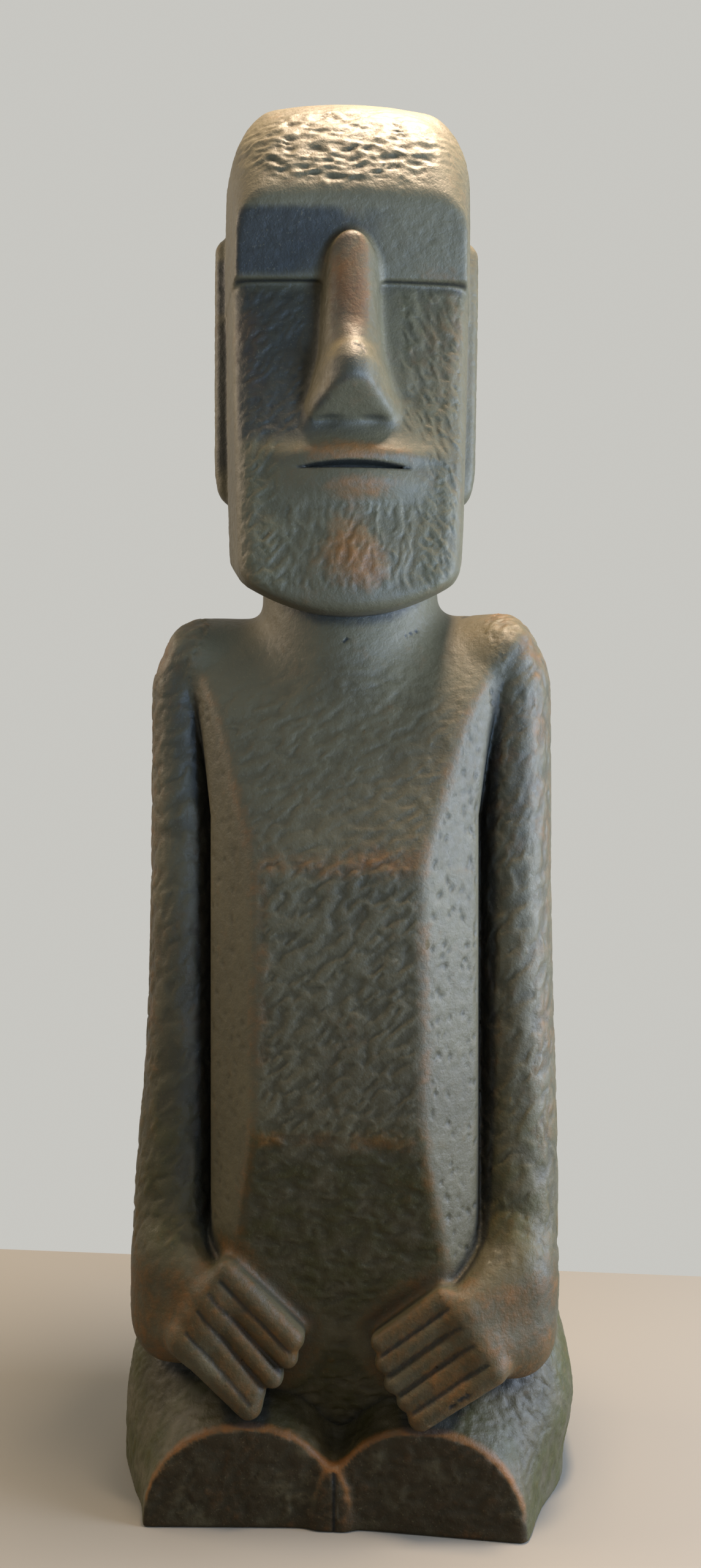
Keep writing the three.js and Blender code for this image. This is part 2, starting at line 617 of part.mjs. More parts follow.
// The slit between the lips: a shallow arch over a nearly straight lower edge, cut back from the front
function buildMouth() {
  const outline = new THREE.Shape();
  const corner = MOUTH_LEVEL + MOUTH_SAG;
  outline.moveTo(-MOUTH_HALF, corner);
  outline.quadraticCurveTo(0, MOUTH_LEVEL - MOUTH_SAG, MOUTH_HALF, corner);
  outline.quadraticCurveTo(0, MOUTH_LEVEL + 2 * MOUTH_OPENING - MOUTH_SAG, -MOUTH_HALF, corner);
  const cut = { depth: 40, bevelEnabled: false, curveSegments: 10 };
  const geometry = new THREE.ExtrudeGeometry(outline, cut);
  return geometry.rotateX(Math.PI / 2).translate(0, -MOUTH_FLOOR, 0);
}

function buildFigure() {
  let head = solid(buildHead()).add(buildNose());
  for (const sign of [1, -1]) head = head.add(solid(buildEar(sign)));
  head = toGeometry(head.subtract(solid(buildMouth()))).translate(-HEAD_OFFSET, 0, 0);
  head.rotateZ(THREE.MathUtils.degToRad(HEAD_TURN));
  let figure = solid(buildBody()).add(solid(head));
  for (const thigh of [LEFT_THIGH, RIGHT_THIGH]) figure = figure.add(solid(buildThigh(thigh)));
  for (const finger of [...RIGHT_HAND, ...LEFT_HAND]) figure = figure.add(solid(buildFinger(finger)));
  const geometry = toGeometry(figure);
  geometry.computeBoundingBox();
  const { min, max } = geometry.boundingBox;
  geometry.translate(-(min.x + max.x) / 2, -(min.y + max.y) / 2, -min.z);
  geometry.computeVertexNormals();
  return geometry;
}

const castStone = new THREE.MeshStandardMaterial({ color: 0x4f5148, roughness: 0.55, metalness: 0 });
const figureMesh = new THREE.Mesh(buildFigure(), castStone);
figureMesh.name = "moai_figure";

const root = new THREE.Group();
root.add(figureMesh);

export default root;
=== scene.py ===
"""Kneeling moai figure in patinated cast stone: its skins, surface and studio."""

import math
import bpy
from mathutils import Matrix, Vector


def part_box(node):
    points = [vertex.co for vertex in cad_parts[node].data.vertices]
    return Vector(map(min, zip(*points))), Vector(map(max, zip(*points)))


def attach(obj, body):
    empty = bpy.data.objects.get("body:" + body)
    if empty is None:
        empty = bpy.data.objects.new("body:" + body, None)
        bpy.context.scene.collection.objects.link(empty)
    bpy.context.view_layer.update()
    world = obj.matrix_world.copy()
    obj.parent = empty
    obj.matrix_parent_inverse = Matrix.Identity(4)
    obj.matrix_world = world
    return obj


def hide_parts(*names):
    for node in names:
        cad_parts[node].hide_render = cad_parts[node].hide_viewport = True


bl_info = {
    "name": "Kneeling Moai Figure",
    "version": (1, 0, 0),
    "blender": (4, 5, 0),
    "location": "View3D > Sidebar > Moai",
    "description": "Builds the tooled and patinated skins of a kneeling moai figure",
    "category": "Object",
}

import bpy
import numpy as np
from mathutils import Vector

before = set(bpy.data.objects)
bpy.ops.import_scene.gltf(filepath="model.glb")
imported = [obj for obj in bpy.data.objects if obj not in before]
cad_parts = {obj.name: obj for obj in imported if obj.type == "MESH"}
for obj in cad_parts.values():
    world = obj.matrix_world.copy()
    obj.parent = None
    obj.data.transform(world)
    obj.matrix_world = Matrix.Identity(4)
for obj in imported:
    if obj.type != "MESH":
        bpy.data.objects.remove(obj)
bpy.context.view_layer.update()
FIGURE_LOW, FIGURE_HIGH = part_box("moai_figure")

# The forms are drawn in millimetres, front to -Y: the figure's height, and how far its back and
# its side at +X reach in that drawing
DRAWN_HEIGHT = 1000.0
DRAWN_BACK = 103.81
DRAWN_SIDE = 163.87


# ---------------------------------------------------------------- blending forms

def mix(a, b, share):
    """From a at share 0 to b at share 1."""
    return a + (b - a) * share


def ramp(start, end, value):
    """Rises softly from 0 at start to 1 at end."""
    t = np.clip((value - start) / (end - start), 0, 1)
    return t * t * (3 - 2 * t)


def join(a, b, fillet):
    """Two forms melted together over a fillet."""
    near = np.maximum(fillet - np.abs(a - b), 0) / fillet
    return np.minimum(a, b) - near * near * fillet / 4


def meet(a, b, rounding):
    """What two forms share, its edge rounded."""
    return -join(-a, -b, rounding)


def profile(t, *knots):
    """A smooth curve through (place, size) knots that never overshoots them."""
    at = np.array([k[0] for k in knots], float)
    size = np.array([k[1] for k in knots], float)
    slope = np.diff(size) / np.diff(at)
    tangent = np.concatenate([slope[:1], np.zeros(len(at) - 2), slope[-1:]])
    for i in range(1, len(at) - 1):
        if slope[i - 1] * slope[i] > 0:
            tangent[i] = 2 * slope[i - 1] * slope[i] / (slope[i - 1] + slope[i])
    t = np.clip(t, at[0], at[-1])
    i = np.clip(np.searchsorted(at, t, side="right") - 1, 0, len(at) - 2)
    span = (at[1:] - at[:-1])[i]
    s = (t - at[i]) / span
    rest = (1 - s) ** 2
    return (size[i] * (1 + 2 * s) * rest + tangent[i] * span * s * rest
            + size[i + 1] * s * s * (3 - 2 * s) + tangent[i + 1] * span * s * s * (s - 1))


def super_radius(u, v, power):
    """Distance from the middle, where a power above 2 squares the circle."""
    return (np.abs(u) ** power + np.abs(v) ** power) ** (1 / power)


def capsule(x, y, z, a, b, ra, rb):
    """A round bar from a to b, with a radius at either end."""
    a, b = np.array(a, float), np.array(b, float)
    along = b - a
    t = ((x - a[0]) * along[0] + (y - a[1]) * along[1] + (z - a[2]) * along[2]) / (along @ along)
    t = np.clip(t, 0, 1)
    off = [v - a[i] - t * along[i] for i, v in enumerate((x, y, z))]
    return np.sqrt(off[0] ** 2 + off[1] ** 2 + off[2] ** 2) - mix(ra, rb, t)


def ball(x, y, z, centre, radii):
    """A ball with a radius along each axis."""
    u = [(v - c) / r for v, c, r in zip((x, y, z), centre, radii)]
    return (np.sqrt(u[0] ** 2 + u[1] ** 2 + u[2] ** 2) - 1) * min(radii)


# ---------------------------------------------------------------- the figure's forms

BELLY = 96.0            # depth of the trunk's flat front
RIDGE = 58.0            # half its width, to the ridges
FLANK_ANGLE = math.radians(46)
CHEST_STRETCH = 1.05    # what the chest's slope adds to a distance
LAP_TOP, LAP_SLOPE, LAP_STRETCH = 265, 0.16, 1.0127
BACK_BOW = 900          # the larger, the flatter the back
SHOULDER = 637          # height of the trunk's top
WRIST = 92              # height at which the arms end
KNEE_FRONT = 92         # depth of the knees' flat fronts at the middle,
LEFT_SPLAY, RIGHT_SPLAY = 0.085, 0.037    # and how they turn away from it
HEAD_TURN = math.radians(8)
HEAD_SHIFT = 2          # the head sits off the middle
CHEEK_BOW = 1500        # the larger, the flatter the face

# Room in which each skin lies, its lowest and its highest corner
HEAD_ROOM = ((-118, -150, 612), (118, 105, 1004))
BODY_ROOM = ((-172, -125, -6), (172, 118, 724))
KNEES_ROOM = ((-172, -125, -6), (172, 118, 170))


def torso_front(x, y, z):
    """The flat band down the front: chest, belly and sloping lap."""
    rise = profile(z, (440, -1.3), (500, 14.9), (545, 27.5), (572, 39), (600, 56), (640, 96))
    chest = (-y - BELLY + rise) / CHEST_STRETCH
    lap = (-y - BELLY + LAP_SLOPE * (LAP_TOP - z)) / LAP_STRETCH
    return meet(meet(chest, -y - BELLY, 3), lap, 3)


def torso_flank(x, y, z):
    """The slanted planes beside the front band."""
    return (np.abs(x) - RIDGE) * math.cos(FLANK_ANGLE) + (-y - BELLY) * math.sin(FLANK_ANGLE)


def torso(x, y, z):
    """The keeled trunk: front, bevelled ridges, flanks, rounded back and shoulders."""
    ax = np.abs(x)
    front, flank = torso_front(x, y, z), torso_flank(x, y, z)
    bevel = (front + flank) / (2 * math.cos(FLANK_ANGLE / 2)) + 1.2
    body = meet(meet(front, bevel, 2), flank, 2)
    spine = profile(z, (0, 105), (150, 100), (300, 84), (450, 92), (560, 96), (640, 80))
    body = meet(body, y - spine + ax * ax / BACK_BOW, 40)
    wall = profile(z, (480, 95), (540, 104), (590, 118))
    body = meet(body, ax - mix(wall, 118, ramp(-30, 30, y)), 6)
    top = z - SHOULDER + 0.0012 * ax * ax + np.maximum(y - 40, 0) * 0.25
    return meet(meet(body, top, 36), -z, 2)


def arm(x, y, z):
    """Both arms, with the palms that they end in."""
    ax = np.abs(x + 3 - 3 * ramp(170, 330, z))
    outer = profile(z, (90, 150), (150, 153), (200, 154.5), (300, 151), (360, 149),
                    (450, 148), (560, 148), (640, 143))
    inner = profile(z, (90, 84), (170, 92), (260, 93), (450, 93), (520, 95), (600, 98))
    across, deep = (outer - inner) / 2, profile(z, (90, 36), (165, 42), (330, 47), (560, 50))
    middle = profile(z, (90, -44), (165, -24), (330, -8), (600, 2))
    limb = super_radius((ax - (outer + inner) / 2) / across, (y - middle) / deep, 2.25) - 1
    limb = limb * np.minimum(across, deep)
    limb = meet(limb, z - 629 + ((ax - 85) / 60) ** 2 * 12 + np.maximum(-x - 80, 0) * 0.05, 46)
    limb = meet(limb, WRIST - z, 40)
    ax = np.abs(x)
    palm = join(capsule(ax, y, z, (116, -56, 158), (86, -81, 147), 23, 17),
                capsule(ax, y, z, (116, -60, 126), (98, -82, 124), 20, 16), 16)
    return join(limb, palm, 30)


def neck(x, y, z):
    """A round column from the shoulders into the head."""
    wide = profile(z, (520, 66), (600, 66), (640, 65), (700, 64))
    deep = profile(z, (520, 60), (600, 62), (640, 60), (700, 60))
    column = (super_radius(x / wide, (y + 4) / deep, 2) - 1) * 60
    return meet(meet(column, 545 - z, 30), z - 720, 10)


# Knuckle (x, z), tip (x, z) and radius of each finger, lowest first
FINGERS = (
    ((-106, 122), (-60, 82), 10), ((-98, 139), (-56, 91), 7.8), ((-91, 151), (-44, 101), 7.8),
    ((-83, 161), (-34, 114), 7.6), ((-76, 168), (-31, 126.5), 9),
    ((104, 112), (56, 80), 9.4), ((95, 125), (47, 90.5), 7.8), ((86, 136), (38, 101), 7.2),
    ((78, 147), (32, 114), 7.4), ((70, 157), (28.5, 126.5), 6.8),
)


FINGER_DEEP = 0.6       # share by which a finger is drawn out behind its middle
FINGER_TAPER = 0.92


def finger_middle(z):
    """Where a finger's middle lies from front to back, at its height."""
    return -BELLY + 3 + (z - 100) * 0.10


def fingers(x, y, z):
    """The fingers of both hands, deepened behind until they lie on the lap."""
    hand = None
    y = y - FINGER_DEEP * np.maximum(y - finger_middle(z), 0)
    for (kx, kz), (tx, tz), radius in FINGERS:
        knuckle, tip = (kx, finger_middle(kz), kz), (tx, finger_middle(tz), tz)
        finger = capsule(x, y, z, knuckle, tip, radius, radius * FINGER_TAPER)
        hand = finger if hand is None else join(hand, finger, 5)
    return hand


def body_form(x, y, z):
    """Trunk, arms, neck and hands in one."""
    body = join(torso(x, y, z), arm(x, y, z), mix(4, 32, ramp(560, 620, z)))
    body = join(body, neck(x, y, z), 16)
    return join(body, fingers(x, y, z), 8)


def thigh(x, y, z, side):
    """One thigh with its flat knee, on the side given as -1 or 1."""
    across, depth = x * side, y + 100
    left = side < 0
    centre = profile(depth, (0, 65 if left else 57), (40, 71), (90, 77), (160, 74), (220, 60))
    tuck = -2.5 if left else mix(10, 0, ramp(10, 65, z))
    centre = centre - tuck * ramp(5, 45, depth)
    wide = profile(depth, (0, 67), (20, 70), (40, 76), (100, 90), (160, 90), (220, 70))
    high = profile(depth, (0, 66), (30, 80), (80, 128), (140, 150), (220, 90))
    power = profile(depth, (0, 2.2), (30, 2.4), (90, 3.1), (220, 3))
    limb = super_radius((across - centre) / wide, z / high, power) - 1
    limb = limb * np.minimum(wide, high) * 0.9
    limb = meet(limb, -y - KNEE_FRONT - (LEFT_SPLAY if left else RIGHT_SPLAY) * across, 4)
    return meet(limb, y - 106 + across * across / BACK_BOW, 40)


def knees_form(x, y, z):
    """Both thighs, cut flat where they stand."""
    knees = join(thigh(x, y, z, 1), thigh(x, y, z, -1), 18)
    return meet(knees, -z, 2)


def head_place(x, y):
    """A place seen from the turned head, which looks along its own -Y."""
    c, s = math.cos(HEAD_TURN), math.sin(HEAD_TURN)
    return c * x + s * y + HEAD_SHIFT, -s * x + c * y


def off_middle(x, z):
    """Distance to either side of the face's middle line, which leans a little."""
    return np.abs(x + 0.8 + 0.007 * (880 - z))


def face_block(x, y, z):
    """The head without its features: forehead, overhanging brow, cheeks and crown."""
    ax = off_middle(x, z)
    half = profile(z, (600, 80), (650, 84), (700, 86), (780, 87.5), (900, 88.5), (1000, 86))
    side = ax - half + np.maximum(-y - 25, 0) * 0.15 + np.maximum(y - 10, 0) * 0.20
    bow = ax * ax / CHEEK_BOW
    forehead = (-y - 102 + 0.24 * (z - 900) + np.maximum(z - 930, 0) ** 2 * 0.004 + bow) / 1.03
    brow = (-y - 102 + 0.34 * (894 - z) + bow * 0.35) / 1.05
    cheek = profile(z, (600, 93), (650, 95), (720, 92), (760, 87), (842, 79), (870, 77))
    corner = mix(12, 34, ramp(865, 935, z))
    visor = meet(meet(meet(side, forehead, corner), brow, 4), 845 - z, 2)
    plate = meet(meet(side, -y - cheek + bow, 13), forehead, 4)
    block = join(visor, plate, 3)
    back = y - profile(z, (600, 40), (660, 62), (760, 74), (900, 78), (1000, 60)) + ax * ax / 700
    crown = z - DRAWN_HEIGHT + (ax / 90) ** 2 * 15 + ((y - 5) / 90) ** 2 * 18
    return meet(meet(block, back, 50), crown, 60)


def ear(x, y, z):
    """Both ears, long flat slabs."""
    ax = off_middle(x, z)
    lobe = ax - profile(z, (711, 94), (740, 98), (830, 98), (910, 98))
    deep = np.abs(y - 8) - profile(z, (711, 11), (760, 17), (880, 24), (910, 20))
    slab = meet(meet(lobe, deep, 10), np.abs(z - 810) - 100, 16)
    return meet(slab, 70 - ax, 2)


def nose(x, y, z):
    """The long nose with its ball, wings, flat underside and nostrils."""
    ridge = profile(z, (740, 110), (755, 119), (764, 123), (776, 123), (785, 120), (797, 113),
                    (812, 107.5), (866, 105))
    wide = profile(z, (740, 32), (752, 35.5), (766, 32), (788, 25.5), (812, 21.5), (840, 20.5),
                   (878, 20))
    power = profile(z, (740, 2.2), (755, 2), (770, 1.75), (790, 1.85), (812, 2.5), (880, 2.6))
    radius = super_radius(x / wide, np.minimum(y + 68, 0) / (ridge - 68), power)
    bridge = (radius - 1) * np.minimum(wide, ridge - 68) * 0.9
    bridge = join(bridge, ball(x, y, z, (0, -107, 771), (16, 19, 19)), 8)
    bridge = meet(bridge, z - 873 + x * x / 26, 8)
    bridge = meet(bridge, (747 + (-y - 100) * 0.62 - z) / 1.2, 4)
    bridge = meet(bridge, y + 60, 2)
    nostril = ball(np.abs(x), y, z, (15, -96, 742), (10, 10, 5))
    return meet(bridge, -nostril, 4)


def muzzle(x, y, z):
    """The rise of the lips and chin."""
    mound = ball(x, y, z, (0, -74, 716), (54, 27, 42))
    mound = join(mound, ball(x, y, z, (0, -95, 721.5), (40, 12, 9)), 8)
    mound = join(mound, ball(x, y, z, (0, -94, 705), (34, 11, 10)), 8)
    return join(mound, ball(x, y, z, (0, -74, 652), (38, 25, 38)), 12)


def mouth(x, y, z):
    """The slit that is cut between the lips."""
    low = 712.2 + (x / 38) ** 2 * 1.2
    top = 716.8 - (x / 38) ** 2 * 3.4
    slit = meet(np.maximum(z - top, low - z), np.abs(x) - 38, 1)
    return meet(slit, y + 93, 1)


def head_form(x, y, z):
    """The turned head with its face, jaw and ears."""
    x, y = head_place(x, y)
    head = join(face_block(x, y, z), muzzle(x, y, z), 12)
    head = join(head, nose(x + 1.5, y, z), 6)
    head = meet(head, -mouth(x, y, z), 1.5)
    jaw = 618 + (x / 80) ** 2 * 27 + 0.025 * x + np.maximum(y + 65, 0) * 0.25 - z
    head = meet(head, jaw, 9)
    return join(head, ear(x, y, z), 4)


def whole_form(x, y, z):
    """The whole figure."""
    return np.minimum(np.minimum(body_form(x, y, z), knees_form(x, y, z)), head_form(x, y, z))


# ---------------------------------------------------------------- skins from forms

COARSE = 4    # first look for the surface: only every so many steps of the mesh


def slope(form, p, reach=0.5):
    """Direction in which the form faces at each point, and how steeply it rises there."""
    away = np.empty_like(p)
    for i in range(3):
        d = np.zeros(3)
        d[i] = reach
        away[:, i] = form(*(p + d).T) - form(*(p - d).T)
    size = np.linalg.norm(away, axis=1, keepdims=True)
    return away / np.maximum(size, 1e-9), size[:, 0] / (2 * reach)


def skin(form, low, high, pitch):
    """Closed skin of quads on a form's surface, its corners about one pitch apart."""
    axes = [np.arange(a, b + COARSE * pitch, pitch) for a, b in zip(low, high)]
    axes = [a[:len(a) // COARSE * COARSE] for a in axes]
    rough = form(*np.meshgrid(*[a[::COARSE] for a in axes], indexing="ij"))
    level, near = rough, np.abs(rough) < 2 * COARSE * pitch
    for axis in range(3):
        level, near = level.repeat(COARSE, axis), near.repeat(COARSE, axis)
    where = np.nonzero(near)
    level[where] = form(*[a[i] for a, i in zip(axes, where)])

    inside = level < 0
    corners = [(i, j, k) for i in (0, 1) for j in (0, 1) for k in (0, 1)]
    part = [slice(0, -1), slice(1, None)]
    held = sum(inside[part[i], part[j], part[k]].astype(np.int8) for i, j, k in corners)
    cells = np.argwhere((held > 0) & (held < 8))
    number = np.full(held.shape, -1)
    number[tuple(cells.T)] = np.arange(len(cells))
    total, hits = np.zeros((len(cells), 3)), np.zeros(len(cells))
    for a in corners:
        for axis in range(3):
            if a[axis]:
                continue
            b = tuple(1 if i == axis else v for i, v in enumerate(a))
            va, vb = level[tuple((cells + a).T)], level[tuple((cells + b).T)]
            crossed = (va < 0) != (vb < 0)
            t = np.where(crossed, va / np.where(crossed, va - vb, 1), 0)
            place = cells + a + t[:, None] * (np.array(b) - a)
            total += place * crossed[:, None]
            hits += crossed
    points = np.array([a[0] for a in axes]) + total / hits[:, None] * pitch

    quads = []
    for axis in range(3):
        b, c = (axis + 1) % 3, (axis + 2) % 3
        first = [slice(1, -1)] * 3
        first[axis] = slice(0, -1)
        second = list(first)
        second[axis] = slice(1, None)
        starts_in = inside[tuple(first)]
        edges = np.argwhere(starts_in != inside[tuple(second)])
        outward = starts_in[tuple(edges.T)]
        edges = edges + [0 if i == axis else 1 for i in range(3)]
        step_b, step_c = np.eye(3, dtype=int)[b], np.eye(3, dtype=int)[c]
        around = (0 * step_b, step_b, step_b + step_c, step_c)
        ring = np.stack([number[tuple((edges - step).T)] for step in around], 1)
        ring[~outward] = ring[~outward][:, ::-1]
        quads.append(ring)
    for _ in range(2):
        away, steep = slope(form, points)
        move = form(*points.T) / np.maximum(steep, 0.5)
        points -= away * np.clip(move, -pitch / 2, pitch / 2)[:, None]
    return points, np.concatenate(quads)


def to_frame(points):
    """Drawn millimetres to metres in the CAD frame."""
    scale = (FIGURE_HIGH.z - FIGURE_LOW.z) / DRAWN_HEIGHT
    moved = points * scale
    moved[:, 0] += FIGURE_HIGH.x - DRAWN_SIDE * scale
    moved[:, 1] += FIGURE_HIGH.y - DRAWN_BACK * scale
    moved[:, 2] += FIGURE_LOW.z
    return moved


def new_piece(name, points, faces, attributes):
    """An object of these faces, with one number per point under each attribute's name."""
    mesh = bpy.data.meshes.new(name)
    mesh.vertices.add(len(points))
    mesh.vertices.foreach_set("co", points.astype(np.float32).ravel())
    sides = faces.shape[1]
    mesh.loops.add(faces.size)
    mesh.loops.foreach_set("vertex_index", faces.astype(np.int32).ravel())
    mesh.polygons.add(len(faces))
    mesh.polygons.foreach_set("loop_start", np.arange(0, faces.size, sides, dtype=np.int32))
    mesh.update()
    mesh.validate()
    mesh.shade_smooth()
    for key, values in attributes.items():
        layer = mesh.attributes.new(key, "FLOAT", "POINT")
        layer.data.foreach_set("value", values.astype(np.float32))
    piece = bpy.data.objects.new(name, mesh)
    bpy.context.scene.collection.objects.link(piece)
    return piece


# ---------------------------------------------------------------- nodes

def add(tree, kind, inputs=None, **settings):
    """Adds a node; an input given as a socket is linked, any other value is set."""
    node = tree.nodes.new(kind)
    for key, value in settings.items():
        setattr(node, key, value)
    for key, value in (inputs or {}).items():
        if isinstance(value, bpy.types.NodeSocket):
            tree.links.new(value, node.inputs[key])
        else:
            node.inputs[key].default_value = value
    return node


def linear(colour):
    """sRGB hex to linear RGB."""
    parts = [int(colour[i:i + 2], 16) / 255 for i in (1, 3, 5)]
    return tuple(c / 12.92 if c <= 0.04045 else ((c + 0.055) / 1.055) ** 2.4 for c in parts)


# ---------------------------------------------------------------- settings

def length(name, text, size, **more):
    """A setting of so many millimetres."""
    return bpy.props.FloatProperty(name=name, description=text, default=size / 1000,
                                   subtype="DISTANCE", unit="LENGTH", precision=4, **more)


def colour(name, text, code):
    """A setting of an sRGB hex colour."""
    return bpy.props.FloatVectorProperty(name=name, description=text, default=linear(code),
                                         subtype="COLOR", min=0, max=1)


class MoaiTooling(bpy.types.PropertyGroup):
    """Marks left in the surface and how finely they are drawn."""

    head_pitch: length("Head pitch", "Spacing of the head's mesh", 1.55, min=0.0012)
    body_pitch: length("Body pitch", "Spacing of the body's mesh", 1.9, min=0.0012)
    knees_pitch: length("Knees pitch", "Spacing of the knees' mesh", 1.9, min=0.0012)
    scallop_size: length("Scallop size", "Width of a broad gouge", 10.5)
    scallop_depth: length("Scallop depth", "Depth of a broad gouge", 1.9)
    stroke_length: length("Stroke length", "Length of a short tool stroke", 12)
    stroke_width: length("Stroke width", "Width of a short tool stroke", 4.4)
    stroke_depth: length("Stroke depth", "Depth of a short tool stroke", 1.15)
    pit_size: length("Pit size", "Spacing of the small punched pits", 9)
    pit_depth: length("Pit depth", "Depth of the small punched pits", 0.9)
    seed: bpy.props.IntProperty(name="Seed", description="Start of the marks' pattern", default=7)


class MoaiPatina(bpy.types.PropertyGroup):
    """Colours of the patinated cast stone."""

    stone: colour("Stone", "Aged stone between the marks", "#46412f")
    dark: colour("Dark", "Patina left in dents and creases", "#1f1d12")
    worn: colour("Worn", "Rubbed brown of ridges, lips and knuckles", "#623d16")
    moss: colour("Moss", "Green bloom on the lap and hands", "#2f3012")
    # the deep colour is painted shade in creases and under the brow, and the dark of cracks
    deep: colour("Deep", "Cold dark of the recesses", "#121617")
    # the stain colour is also painted shade, low on the knees and lap where the light falls off
    stain_and_low_shade: colour("Stain", "Dark brown stain of the knees", "#221b0b")


class MoaiStudio(bpy.types.PropertyGroup):
    """Floor, lights and camera."""

    floor: colour("Floor", "Pale floor", "#6d6a62")
    wall: colour("Surround", "Pale surround", "#d1d0cb")
    surround: bpy.props.FloatProperty(name="Surround light", default=0.9, min=0,
                                      description="Strength of the light all round")
    top: bpy.props.FloatProperty(name="Top light", description="Power of the warm light above",
                                 default=62, min=0, unit="POWER")
    side: bpy.props.FloatProperty(name="Side light", description="Power of the cool light beside",
                                  default=75, min=0, unit="POWER")
    yaw: bpy.props.FloatProperty(name="Camera yaw", description="Turn of the camera",
                                 default=math.radians(5.5), subtype="ANGLE", unit="ROTATION")


# ---------------------------------------------------------------- tool marks

WAVER = 0.012           # how far the marks' rows stray
SEED_STEP = 0.37        # how far one seed's pattern lies from the next one's
MOST_PROUD = 0.0009     # the bumps left between the marks stand no higher
SCAR_DEPTH = 0.0011
MOST_TRIANGLES = 195000


def tooling_tree():
    """Geometry nodes that press the tool marks into a skin where its weights ask for them."""
    tree = bpy.data.node_groups.new("Tool marks", "GeometryNodeTree")
    face = tree.interface
    face.new_socket("Geometry", in_out="OUTPUT", socket_type="NodeSocketGeometry")
    face.new_socket("Geometry", in_out="INPUT", socket_type="NodeSocketGeometry")
    for name in ("Scallop size", "Scallop depth", "Stroke length", "Stroke width", "Stroke depth",
                 "Pit size", "Pit depth"):
        socket = face.new_socket(name, in_out="INPUT", socket_type="NodeSocketFloat")
        socket.subtype = "DISTANCE"
    face.new_socket("Seed", in_out="INPUT", socket_type="NodeSocketInt")
    face.new_socket("Material", in_out="INPUT", socket_type="NodeSocketMaterial")

    given = add(tree, "NodeGroupInput").outputs
    place = add(tree, "GeometryNodeInputPosition").outputs[0]

    def maths(operation, a, b=0.0, c=0.0):
        return add(tree, "ShaderNodeMath", {0: a, 1: b, 2: c}, operation=operation).outputs[0]

    def vector(operation, *values):
        return add(tree, "ShaderNodeVectorMath", dict(enumerate(values)),
                   operation=operation).outputs[0]

    def layer(name):
        return add(tree, "GeometryNodeInputNamedAttribute", {"Name": name},
                   data_type="FLOAT").outputs["Attribute"]

    def soft_step(value, low, high):
        return add(tree, "ShaderNodeMapRange", {"Value": value, "From Min": low, "From Max": high},
                   interpolation_type="SMOOTHSTEP").outputs[0]

    # a wavering place, turned so that the marks run along the slant painted on the skin
    start = vector("ADD", place, maths("MULTIPLY", given["Seed"], SEED_STEP))
    waver = add(tree, "ShaderNodeTexNoise", {"Vector": start, "Scale": 55.0, "Detail": 1.0})
    sway = vector("SUBTRACT", waver.outputs["Color"], (0.5, 0.5, 0.5))
    warped = vector("MULTIPLY_ADD", sway, (WAVER, WAVER, WAVER), start)
    turned = add(tree, "ShaderNodeVectorRotate", {"Vector": warped, "Angle": layer("slant")},
                 rotation_type="Y_AXIS").outputs[0]

    # broad gouges, wider than high, with a ripple in them
    gouge = add(tree, "ShaderNodeCombineXYZ",
                {"X": maths("MULTIPLY", given["Scallop size"], 1.3),
                 "Y": given["Scallop size"],
                 "Z": maths("MULTIPLY", given["Scallop size"], 0.5)}).outputs[0]
    scallop = add(tree, "ShaderNodeTexVoronoi",
                  {"Vector": vector("DIVIDE", turned, gouge), "Scale": 1.0, "Smoothness": 0.2,
                   "Randomness": 1.0}, feature="SMOOTH_F1").outputs["Distance"]
    ripple = add(tree, "ShaderNodeTexNoise",
                 {"Vector": vector("DIVIDE", turned, gouge), "Scale": 1.6,
                  "Detail": 2.0}).outputs[0]
    scallop = maths("MULTIPLY_ADD", maths("SUBTRACT", ripple, 0.5), 0.9,
                    maths("MULTIPLY_ADD", scallop, 1.5, -0.75))

    # short strokes, long along the slant
    coarse = layer("coarse")
    wide = maths("MULTIPLY", given["Stroke width"], coarse)
    cell = add(tree, "ShaderNodeCombineXYZ",
               {"X": maths("MULTIPLY", given["Stroke length"], coarse), "Y": wide,
                "Z": wide}).outputs[0]
    stroke = add(tree, "ShaderNodeTexNoise",
                 {"Vector": vector("DIVIDE", turned, cell), "Scale": 1.0, "Detail": 2.0,
                  "Roughness": 0.45, "Distortion": 0.35}).outputs[0]
    stroke = maths("SUBTRACT", soft_step(stroke, 0.36, 0.64), 0.6)

    # small round pits, one to a cell
    pit = add(tree, "ShaderNodeTexVoronoi",
              {"Vector": warped, "Scale": maths("DIVIDE", 1.0, given["Pit size"]),
               "Randomness": 1.0}, feature="F1").outputs["Distance"]
    pit = maths("SUBTRACT", soft_step(pit, 0.1, 0.42), 1.0)

    # the three kinds by their shares, then the single scars
    height = maths("MULTIPLY", maths("MULTIPLY", scallop, given["Scallop depth"]),
                   layer("scallops"))
    height = maths("MULTIPLY_ADD", maths("MULTIPLY", stroke, given["Stroke depth"]),
                   layer("strokes"), height)
    height = maths("MULTIPLY_ADD", maths("MULTIPLY", pit, given["Pit depth"]),
                   layer("pits"), height)
    height = maths("MINIMUM", height, MOST_PROUD)
    height = maths("MULTIPLY_ADD", layer("scar"), -SCAR_DEPTH, height)

    kept = add(tree, "GeometryNodeStoreNamedAttribute",
               {"Geometry": given["Geometry"], "Name": "relief", "Value": height},
               data_type="FLOAT", domain="POINT").outputs[0]
    facing = add(tree, "GeometryNodeInputNormal").outputs[0]
    offset = add(tree, "ShaderNodeVectorMath", {0: facing, "Scale": height},
                 operation="SCALE").outputs[0]
    pressed = add(tree, "GeometryNodeSetPosition", {"Geometry": kept, "Offset": offset}).outputs[0]
    whole = add(tree, "GeometryNodeRealizeInstances", {"Geometry": pressed}).outputs[0]
    made = add(tree, "GeometryNodeSetMaterial",
               {"Geometry": whole, "Material": given["Material"]}).outputs[0]
    add(tree, "NodeGroupOutput", {"Geometry": made})
    return tree


